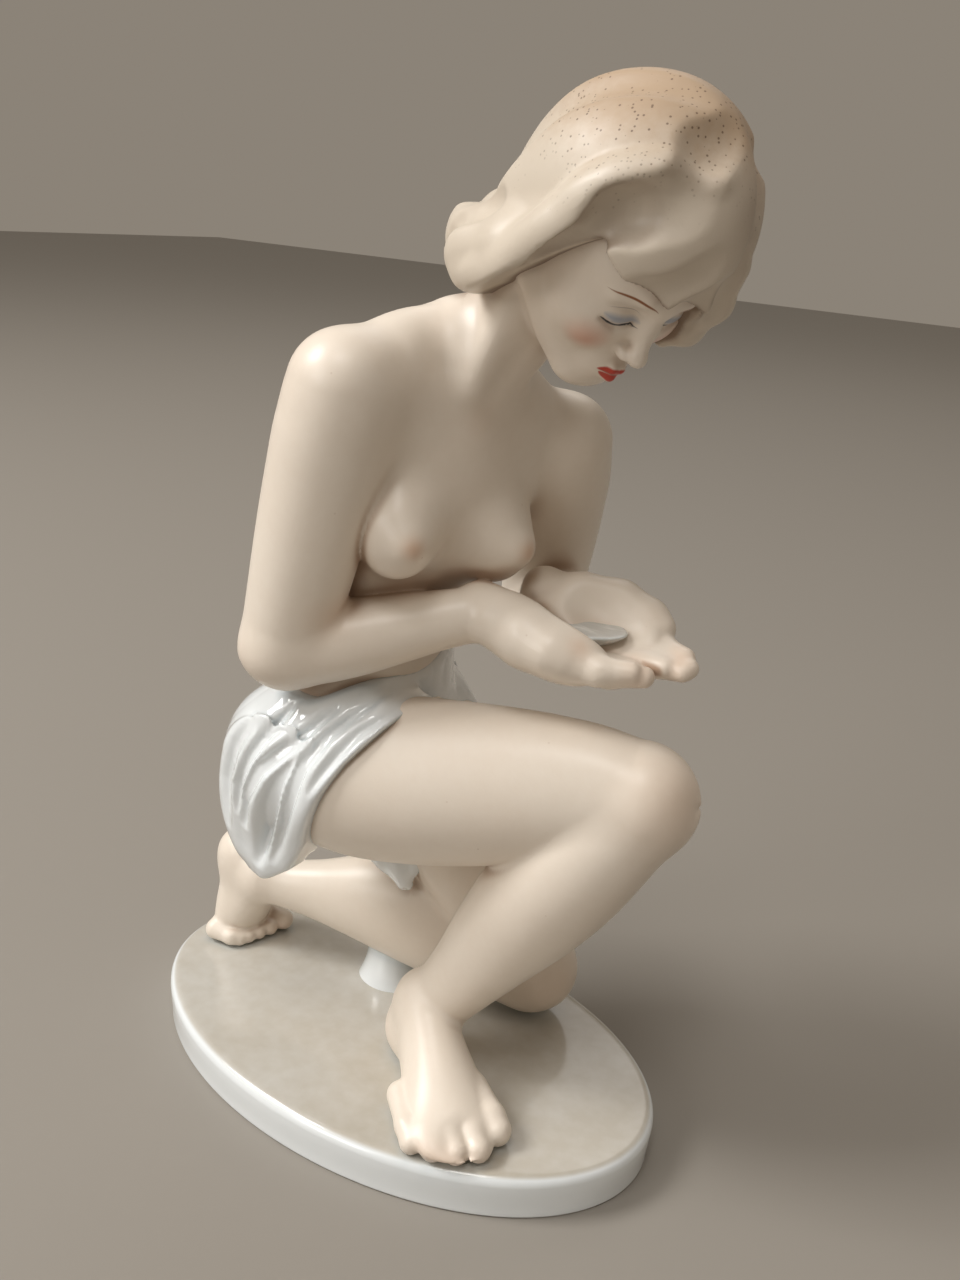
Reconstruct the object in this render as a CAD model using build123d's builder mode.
"""A slip-cast porcelain figurine: a bather kneeling on one knee, who holds water in her cupped hands.

The figure is cast in sections in plaster moulds, and the sections are luted together with slip and fired.
Each cast section, each glazed drape and the pool of water is one piece here, in its place on the figure.
Large sections are hollow and are vented into each other through small holes at their luted faces.

Frame: +Z up, the origin at the middle of the plinth's foot, +X along the plinth towards the planted foot,
so that the figure faces +X and its left hand lies towards +Y. All sizes are in millimetres.
"""

from build123d import *
import os
from math import radians, cos, sin

os.makedirs("parts", exist_ok=True)

# Plinth
PLINTH_LENGTH = 135.0
PLINTH_WIDTH = 83.0
PLINTH_HEIGHT = 11.0
PLINTH_EDGE = 2.0
PLINTH_WALL = 4.5
PLINTH_TOP = 4.0

# Casting
WALL = 3.0
VENT = 1.5

# Joint centres of the pose
HIP_R, HIP_L = Vector(-15.3, -20.5, 85.0), Vector(-15.0, 12.5, 86.5)
KNEE_R, KNEE_L = Vector(55.5, -1.0, 92.0), Vector(22.0, 25.0, 23.5)
ANKLE_R, ANKLE_L = Vector(13.5, -8.0, 25.5), Vector(-47.5, 2.5, 32.0)
SHOULDER_R, SHOULDER_L = Vector(-2.0, -31.3, 167.5), Vector(18.5, 19.0, 155.5)
ELBOW_R, ELBOW_L = Vector(-13.5, -31.5, 116.0), Vector(5.5, 40.0, 113.0)
WRIST_R, WRIST_L = Vector(19.5, -8.0, 125.5), Vector(27.0, 11.0, 127.0)
NECK = Vector(11.0, -6.0, 177.0)
HEAD = Vector(39.3, -8.4, 198.1)

# Hands and the bowl they make
HAND_TURN = -3.0
HAND_TILT = 12.0
HAND_MIDDLE = 0.0
BOWL = Vector(40.5, 0.0, 133.5)
BOWL_RADIUS = 13.0
WATER_LEVEL = 125.0

# The way the chest faces, and the head's own axes: its face, its left side and its crown
CHEST_TURN = -22.0
HEAD_TURN = -20.0
HEAD_BOW = 42.0

UP = Vector(0, 0, 1)
ACROSS = Vector(0, 1, 0)


def turned(turn, tilt=0.0):
    """A unit vector towards the front, turned about Z and then tilted down, in degrees."""
    flat = cos(radians(tilt))
    return Vector(cos(radians(turn)) * flat, sin(radians(turn)) * flat, -sin(radians(tilt)))


def between(first, last, share):
    """The point at a share of the way from one joint centre to another."""
    return first + (last - first) * share


def swept_form(first, last, side, stations):
    """A limb between two joint centres, lofted through elliptical sections.

    Each station is its share of the length, its half widths along the side and across it, and how far
    its middle stands off the axis along the side and across it.
    """
    axis = (last - first).normalized()
    across = axis.cross(side).normalized()
    along_side = across.cross(axis).normalized()
    with BuildPart() as form:
        for share, wide, deep, shift, lift in stations:
            middle = between(first, last, share) + along_side * shift + across * lift
            with BuildSketch(Plane(origin=middle, x_dir=along_side, z_dir=axis)):
                Ellipse(wide, deep)
        loft()
    return form.part


def egg(plane, wide, deep, tall):
    """An ellipsoid with its middle and its three axes on a plane."""
    with BuildPart() as form:
        Sphere(1)
        scale(by=(wide, deep, tall))
    return plane.location * form.part


def finger(root, tip, root_radius, tip_radius):
    """A tapered digit with round ends, turned about the line from its root to its tip."""
    length = (tip - root).length
    with BuildPart() as form:
        with BuildSketch(Plane.XZ):
            with BuildLine():
                Polyline((0, -root_radius), (0, length + tip_radius))
                CenterArc((0, 0), root_radius, -90, 90)
                Line((root_radius, 0), (tip_radius, length))
                CenterArc((0, length), tip_radius, 0, 90)
            make_face()
        revolve(axis=Axis.Z)
    return Plane(origin=root, z_dir=tip - root).location * form.part


def largest(part):
    """The largest solid of a cut form, which is the casting without its trimmings."""
    return part.solids().sort_by(SortBy.VOLUME)[-1]


def vent(middle, axis, length):
    """A vent pin through a luted face."""
    with BuildPart(Plane(origin=middle, z_dir=axis)) as form:
        Cylinder(VENT, length)
    return form.part


def save(part, name):
    """Labels a finished piece and writes its STEP file."""
    part.label = name
    export_step(part, f"parts/{name}.step")


# Plinth: an oval tray turned upside down, with a soft glazed edge, a foot ring and two vent holes
with BuildPart() as plinth:
    with BuildSketch():
        Ellipse(PLINTH_LENGTH / 2, PLINTH_WIDTH / 2)
    extrude(amount=PLINTH_HEIGHT)
    fillet(plinth.edges().group_by(Axis.Z)[-1], PLINTH_EDGE)
    fillet(plinth.edges().group_by(Axis.Z)[0], PLINTH_EDGE / 3)
    with BuildSketch():
        Ellipse(PLINTH_LENGTH / 2 - PLINTH_WALL, PLINTH_WIDTH / 2 - PLINTH_WALL)
    extrude(amount=PLINTH_HEIGHT - PLINTH_TOP, mode=Mode.SUBTRACT)
    with Locations((KNEE_L.X, KNEE_L.Y, PLINTH_HEIGHT)):
        Hole(VENT)
save(plinth.part, "plinth")


# The head's axes, its half sizes to the front, the side and the crown, and the thickness of its hair
FACE_WAY = turned(HEAD_TURN, HEAD_BOW)
CROWN_WAY = turned(HEAD_TURN, HEAD_BOW - 90)
HEAD_SIDE = turned(HEAD_TURN + 90)
SKULL_PLANE = Plane(origin=HEAD + CROWN_WAY * 4 - FACE_WAY * 1.5, x_dir=FACE_WAY, z_dir=CROWN_WAY)
SKULL = (18.5, 15.5, 17.5)
JAW = (12.5, 11.5, 14.5)
NECK_RADIUS = 8.5
HAIR = 4.3
ROLL = 6.2

# Drapes: the swag over the right hip, the band behind, and the fall between the thighs
CLOTH = 3.0
DRAPE_FRONT = -14.0
SWAG_TOP, SWAG_CORNER = Vector(6.0, -15.0, 102.0), Vector(-20.0, -31.0, 62.0)
SWAG = (
    (0.00, 4.0, 5.0, 0.0, 0.0),
    (0.12, 9.0, 9.0, 0.0, 0.0),
    (0.35, 14.5, 13.5, 0.0, 0.0),
    (0.60, 14.0, 13.0, 0.0, 0.0),
    (0.85, 9.5, 8.5, 0.0, 0.0),
    (1.00, 5.0, 5.0, 0.0, 0.0),
)
FALL_TOP, FALL_CORNER = Vector(-8.0, -3.0, 76.0), Vector(-3.0, 5.0, 45.0)
FALL = (
    (0.00, 9.0, 4.0, 0.0, 0.0),
    (0.50, 9.5, 3.5, 0.0, 0.0),
    (0.85, 7.0, 2.5, 0.0, 0.0),
    (1.00, 3.0, 1.6, 0.0, 0.0),
)

# Prop
PROP_PLACE = (-13.0, 13.5, PLINTH_HEIGHT)
PROP_FOOT = 7.0
PROP_HEAD = 5.0
PROP_HEIGHT = 16.0

# Torso: lofted up the spine, from between the legs to the root of the neck, turning with the chest
TORSO_TOP = Vector(8.0, -6.0, 163.0)
BREAST = 9.5
SEAT_SIZE = 14.0
TORSO_STATIONS = (
    # x, y, z, turn, half width, half depth
    (-18.5, -4.0, 66.0, 5.0, 10.0, 9.0),
    (-18.5, -4.0, 74.0, 5.0, 21.0, 16.0),
    (-17.0, -4.0, 86.0, 4.0, 26.0, 17.5),
    (-13.5, -4.2, 99.0, 0.0, 23.0, 16.0),
    (-8.0, -4.6, 114.0, -10.0, 18.0, 13.5),
    (-2.5, -5.5, 130.0, -16.0, 19.5, 14.5),
    (3.0, -6.0, 146.0, -22.0, 22.5, 15.5),
    (6.5, -6.0, 160.0, -22.0, 22.5, 14.0),
    (8.5, -6.0, 170.0, -22.0, 16.0, 11.5),
    (10.5, -6.0, 178.0, -22.0, 9.0, 8.5),
)
YOKE = (
    (-0.02, 6.0, 6.0, 0.0, 0.0),
    (0.15, 8.6, 8.6, 0.0, 0.0),
    (0.50, 10.0, 11.0, 0.0, 0.0),
    (0.85, 8.6, 8.6, 0.0, 0.0),
    (1.02, 6.0, 6.0, 0.0, 0.0),
)
BREASTS = ((9.0, -19.5, 141.0), (17.0, 0.0, 138.0))
SEAT = ((-24.0, -15.0, 80.0), (-23.5, 7.0, 80.0))

# Legs: share of the length, half width across the figure, half depth, and the offset of the middle
THIGH = (
    (-0.10, 11.5, 11.5, 0.0, 0.0),
    (0.00, 15.0, 15.0, 0.0, 0.0),
    (0.15, 16.2, 16.2, 0.0, 0.0),
    (0.40, 15.6, 15.6, 0.0, 0.0),
    (0.70, 13.4, 13.8, 0.0, 0.0),
    (0.90, 12.6, 13.2, 0.0, 0.0),
    (1.00, 12.4, 12.8, 0.0, 0.0),
    (1.10, 10.4, 10.8, 0.0, 0.0),
    (1.16, 6.5, 7.0, 0.0, 0.0),
)
SHIN = (
    (-0.06, 7.0, 7.0, 0.0, 0.0),
    (0.02, 10.6, 10.6, 0.0, 0.0),
    (0.18, 10.8, 11.6, 0.0, -1.5),
    (0.36, 10.4, 11.8, 0.0, -2.0),
    (0.60, 8.6, 9.4, 0.0, -1.2),
    (0.84, 6.2, 7.0, 0.0, 0.0),
    (1.00, 6.4, 7.2, 0.0, 0.0),
)
FOOT_TURN = -31.0
FOOT = (
    # distance from the back of the heel, height of the middle, half width, half height
    (0.5, 18.0, 3.0, 4.0),
    (3.5, 18.5, 5.6, 8.0),
    (11.0, 19.5, 6.8, 10.0),
    (20.0, 18.5, 7.6, 9.4),
    (29.0, 15.5, 9.2, 7.2),
    (36.0, 14.0, 10.2, 5.2),
    (41.0, 13.6, 8.8, 3.6),
)
TOE_RADII = (3.3, 2.4, 2.3, 2.2, 2.1)
TUCKED_MIDDLE = 2.5

# Arms
UPPER_ARM = (
    (-0.17, 5.0, 5.0, 0.0, 0.0),
    (-0.10, 8.8, 8.6, 0.0, 0.0),
    (0.02, 10.8, 10.4, 0.0, 0.0),
    (0.30, 10.8, 10.6, 0.0, 0.0),
    (0.70, 9.8, 10.2, 0.0, 0.0),
    (1.00, 9.2, 9.4, 0.0, 0.0),
    (1.12, 5.5, 6.0, 0.0, 0.0),
)
FOREARM = (
    (-0.16, 5.0, 5.0, 0.0, 0.0),
    (0.00, 9.2, 9.2, 0.0, 0.0),
    (0.25, 9.0, 9.2, 0.0, 0.0),
    (0.60, 7.2, 7.6, 0.0, 0.0),
    (0.90, 5.8, 5.8, 0.0, 0.0),
    (1.00, 5.6, 5.2, 0.0, 0.0),
)

PALM_END = 25.0
PALM = (
    (0.00, 5.6, 5.2, 0.0, 0.0),
    (0.25, 5.8, 5.0, 0.0, 0.0),
    (0.50, 7.8, 5.8, -1.0, 0.0),
    (0.80, 8.4, 5.4, -1.2, 0.0),
    (1.00, 7.0, 3.6, -1.2, 0.0),
)
FINGERS = ((28.5, 2.2), (31.0, 2.4), (31.5, 2.5), (29.5, 2.4))


def torso_form(stations, wall):
    """The trunk lofted up through level sections, one wall in from its skin."""
    with BuildPart() as form:
        for x, y, z, turn, wide, deep in stations:
            with BuildSketch(Plane(origin=(x, y, z), x_dir=turned(turn + 90), z_dir=UP)):
                Ellipse(wide - wall, deep - wall)
        loft()
    return form.part


def core(first, last, stations):
    """The hollow inside a limb, one wall in from its skin."""
    inner = [(share, wide - WALL, deep - WALL, shift, lift) for share, wide, deep, shift, lift in stations]
    return swept_form(first, last, ACROSS, inner)


def half_space(place, way):
    """Everything on one side of a plane."""
    with BuildPart(Plane(origin=place, z_dir=way)) as block:
        Box(500, 500, 500, align=(Align.CENTER, Align.CENTER, Align.MIN))
    return block.part


def head_form():
    """The neck, the skull, the jaw and a small nose."""
    with BuildPart() as form:
        with BuildSketch(Plane(origin=NECK, z_dir=(0.6, -0.2, 0.8))):
            Circle(NECK_RADIUS)
        with BuildSketch(Plane(origin=HEAD - CROWN_WAY * 8 - FACE_WAY * 6, z_dir=(0.85, -0.2, 0.5))):
            Circle(NECK_RADIUS)
        loft()
        add(egg(SKULL_PLANE, *SKULL))
        add(egg(Plane(origin=HEAD - CROWN_WAY * 7 + FACE_WAY * 5, x_dir=FACE_WAY, z_dir=CROWN_WAY), *JAW))
        add(finger(HEAD + FACE_WAY * 15.5, HEAD + FACE_WAY * 18.6 - CROWN_WAY * 6, 1.6, 2.1))
    return form.part


def above_plinth(form):
    """Flattens a form onto the top of the plinth."""
    with BuildPart() as under:
        with Locations((0, 0, PLINTH_HEIGHT)):
            Box(400, 400, 200, align=(Align.CENTER, Align.CENTER, Align.MAX))
    return form - under.part


def planted_foot_form():
    """The planted foot, lofted along its length, with five toes."""
    heel = Vector(2.6, -3.6, 0)
    ahead = turned(FOOT_TURN)
    side = turned(FOOT_TURN + 90)
    with BuildPart() as form:
        for along, high, wide, tall in FOOT:
            middle = heel + ahead * along + UP * high
            with BuildSketch(Plane(origin=middle, x_dir=side, z_dir=ahead)):
                Ellipse(wide, tall)
        loft()
        across = 7.2
        for radius in TOE_RADII:
            across -= radius
            reach = 48.0 - 0.035 * (across - 6) ** 2
            root = heel + ahead * 37 + side * across + UP * (PLINTH_HEIGHT + radius + 0.4)
            tip = heel + ahead * (reach - radius) + side * across + UP * (PLINTH_HEIGHT + radius - 0.5)
            add(finger(root, tip, radius, radius * 0.9))
            across -= radius
    return above_plinth(form.part)


def tucked_foot_form():
    """The foot of the kneeling leg, which stands on its toes with its sole to the back."""
    stations = ((44.5, -53.0, 3.0, 3.0), (42.0, -54.0, 6.2, 6.4), (35.0, -54.5, 7.2, 7.4),
                (26.0, -55.0, 8.2, 6.2), (18.0, -55.4, 9.6, 5.6), (12.0, -55.4, 9.4, 4.8), (10.4, -55.4, 8.6, 4.0))
    with BuildPart() as form:
        for z, x, wide, deep in stations:
            with BuildSketch(Plane(origin=(x, TUCKED_MIDDLE, z), x_dir=(0, 1, 0), z_dir=(0, 0, -1))):
                Ellipse(wide, deep)
        loft()
        across = 8.4
        for radius in TOE_RADII:
            across -= radius
            root = Vector(-55.5, across + TUCKED_MIDDLE, PLINTH_HEIGHT + radius + 0.6)
            tip = Vector(-46.0 + 0.3 * across, across + TUCKED_MIDDLE + 0.9, PLINTH_HEIGHT + radius - 0.4)
            add(finger(root, tip, radius, radius * 0.9))
            across -= radius
    return above_plinth(form.part)


def arm_form(shoulder, elbow, wrist):
    """A whole arm from its shoulder to its wrist."""
    return swept_form(shoulder, elbow, ACROSS, UPPER_ARM) + swept_form(elbow, wrist, UP, FOREARM)


def hand_form(wrist, side):
    """A cupped hand that reaches forwards from its wrist, before its hollow is scooped; side is -1 or 1."""
    ahead = turned(HAND_TURN, HAND_TILT)
    out = turned(HAND_TURN + 90 * side)
    over = ahead.cross(turned(HAND_TURN + 90))
    palm = wrist + ahead * 15 - out * 1.2
    with BuildPart() as form:
        add(swept_form(wrist - ahead * 3, wrist + ahead * PALM_END, out, PALM))
        for i, (reach, radius) in enumerate(FINGERS):
            spread = out * (i * 3.9 - 4.6)
            root = palm + ahead * 6 + spread - over * (1.3 - 0.25 * i)
            add(finger(root, palm + ahead * (reach - 12) + spread * 0.85 - over * 0.6, radius, radius * 0.8))
        add(finger(palm - ahead * 6 + out * 5.0, palm + ahead * 9 + out * 6.6 + over * 3.4, 3.9, 2.7))
    return form.part


# Outer forms of the figure
torso_outer = torso_form(TORSO_STATIONS, 0) + swept_form(SHOULDER_R, SHOULDER_L, UP, YOKE)
for place in SEAT:
    torso_outer += egg(Plane(origin=place), SEAT_SIZE, SEAT_SIZE - 1, SEAT_SIZE)
for place in BREASTS:
    torso_outer += egg(Plane(origin=place, x_dir=turned(CHEST_TURN, 20)), BREAST, BREAST, BREAST + 1)
right_thigh_outer = swept_form(HIP_R, KNEE_R, ACROSS, THIGH)
left_thigh_outer = swept_form(HIP_L, KNEE_L, ACROSS, THIGH)
right_shin_outer = swept_form(KNEE_R, ANKLE_R, ACROSS, SHIN)
left_shin_outer = swept_form(KNEE_L, ANKLE_L, ACROSS, SHIN)
right_hand_outer = hand_form(WRIST_R, -1)
left_hand_outer = hand_form(WRIST_L, 1)
head_outer = head_form()

# Vents, from the hollow of one casting into the next and out through the plinth under the left knee
thigh_way_r, thigh_way_l = (KNEE_R - HIP_R).normalized(), (KNEE_L - HIP_L).normalized()
shin_way_r, shin_way_l = (ANKLE_R - KNEE_R).normalized(), (ANKLE_L - KNEE_L).normalized()
hip_vent_r = vent(HIP_R + thigh_way_r * 13, thigh_way_r, 30)
hip_vent_l = vent(HIP_L + thigh_way_l * 10, thigh_way_l, 30)
knee_vent_r = vent(KNEE_R + shin_way_r * 12, shin_way_r, 18)
knee_vent_l = vent(KNEE_L + shin_way_l * 12, shin_way_l, 18)
foot_vent = vent(KNEE_L - UP * 8, UP, 16)
neck_vent = vent((TORSO_TOP + HEAD) * 0.5, HEAD - TORSO_TOP, (HEAD - TORSO_TOP).length)

# Torso: hollow, with the breasts luted on
torso = largest(torso_outer - torso_form(TORSO_STATIONS[1:-2], WALL) - hip_vent_r - hip_vent_l - neck_vent)
save(torso, "torso")

# Thighs: hollow, and the left one is flattened at the knee, where it stands on the plinth
right_thigh = largest(right_thigh_outer - torso_outer - core(HIP_R, KNEE_R, THIGH[2:8]) - hip_vent_r - knee_vent_r)
left_thigh = largest(above_plinth(left_thigh_outer) - torso_outer - right_thigh_outer
                     - core(HIP_L, KNEE_L, THIGH[2:8]) - hip_vent_l - knee_vent_l - foot_vent)
save(right_thigh, "right_thigh")
save(left_thigh, "left_thigh")

# Lower legs: hollow in the calf, solid at the ankle
right_lower_leg = largest(right_shin_outer - right_thigh_outer - core(KNEE_R, ANKLE_R, SHIN[2:5]) - knee_vent_r)
left_lower_leg = largest(above_plinth(left_shin_outer) - left_thigh_outer
                         - core(KNEE_L, ANKLE_L, SHIN[2:5]) - knee_vent_l)
save(right_lower_leg, "right_lower_leg")
save(left_lower_leg, "left_lower_leg")

# Feet: solid, the right one flat and the left one on its toes
right_foot = largest(planted_foot_form() - right_shin_outer)
left_foot = largest(tucked_foot_form() - left_shin_outer)
save(right_foot, "right_foot")
save(left_foot, "left_foot")

# Head: hollow in the skull, solid in the neck
head = largest(head_outer - torso_outer - egg(SKULL_PLANE, *[half - WALL for half in SKULL]) - neck_vent)
save(head, "head")

# Hair: a bob swept over the crown, open at the face, with a rolled lower edge
with BuildPart() as bob:
    add(egg(SKULL_PLANE, *[half + HAIR for half in SKULL]))
    add(egg(Plane(origin=HEAD - FACE_WAY * 9 - CROWN_WAY * 3, x_dir=FACE_WAY, z_dir=CROWN_WAY), 15.0, 21.0, 16.0))
    for side in (-1, 1):
        add(finger(HEAD + HEAD_SIDE * 15.0 * side - CROWN_WAY * 9 - FACE_WAY * 13,
                   HEAD + HEAD_SIDE * 15.5 * side - CROWN_WAY * 6 + FACE_WAY * 2, ROLL, ROLL - 1))
    add(finger(HEAD - HEAD_SIDE * 15 - CROWN_WAY * 9 - FACE_WAY * 13,
               HEAD + HEAD_SIDE * 15 - CROWN_WAY * 9 - FACE_WAY * 13, ROLL, ROLL))
face_plane = Plane(origin=HEAD - CROWN_WAY * 13 + FACE_WAY * 19, x_dir=FACE_WAY, z_dir=CROWN_WAY)
hair = largest(bob.part - egg(face_plane, 17.0, 12.5, 20.0) - head_outer - torso_outer)
save(hair, "hair_bob")

# Hands: two halves of one bowl, which meet along their little fingers
with BuildPart() as bowl_ball:
    with Locations(BOWL):
        Sphere(BOWL_RADIUS)
bowl = bowl_ball.part
left_half = half_space(Vector(0, HAND_MIDDLE, 0), ACROSS)
right_hand = largest(right_hand_outer - left_half - bowl - torso_outer)
left_hand = largest((left_hand_outer & left_half) - bowl - torso_outer)
save(right_hand, "right_hand")
save(left_hand, "left_hand")

# Arms: solid, from the shoulder to the wrist
right_arm = largest(arm_form(SHOULDER_R, ELBOW_R, WRIST_R) - torso_outer - right_hand_outer - right_thigh_outer)
left_arm = largest(arm_form(SHOULDER_L, ELBOW_L, WRIST_L) - torso_outer - left_hand_outer)
save(right_arm, "right_arm")
save(left_arm, "left_arm")

# Water: the pool that fills the bowl of the hands to its level
water_pool = largest(bowl - half_space(Vector(0, 0, WATER_LEVEL), UP))
save(water_pool, "water_pool")

# Drapes: glazed cloth over the hips, thickened from the body outwards, with its corners hanging
body = [torso_outer, right_thigh_outer, left_thigh_outer, left_shin_outer]
swag_outer = swept_form(SWAG_TOP, SWAG_CORNER, UP, SWAG)
swag = largest(swag_outer - body)
back = largest(torso_form(TORSO_STATIONS[1:4], -CLOTH) - half_space(Vector(DRAPE_FRONT, 0, 0), Vector(1, 0, 0))
               - body - [swag_outer])
front = largest(swept_form(FALL_TOP, FALL_CORNER, ACROSS, FALL) - body)
save(swag, "drape_hip")
save(back, "drape_back")
save(front, "drape_front")

# Prop: a small glazed pillar that carries the kneeling shin
with BuildPart() as prop:
    with Locations(PROP_PLACE):
        Cone(PROP_FOOT, PROP_HEAD, PROP_HEIGHT, align=(Align.CENTER, Align.CENTER, Align.MIN))
    add([left_shin_outer, left_thigh_outer], mode=Mode.SUBTRACT)
save(largest(prop.part), "prop")
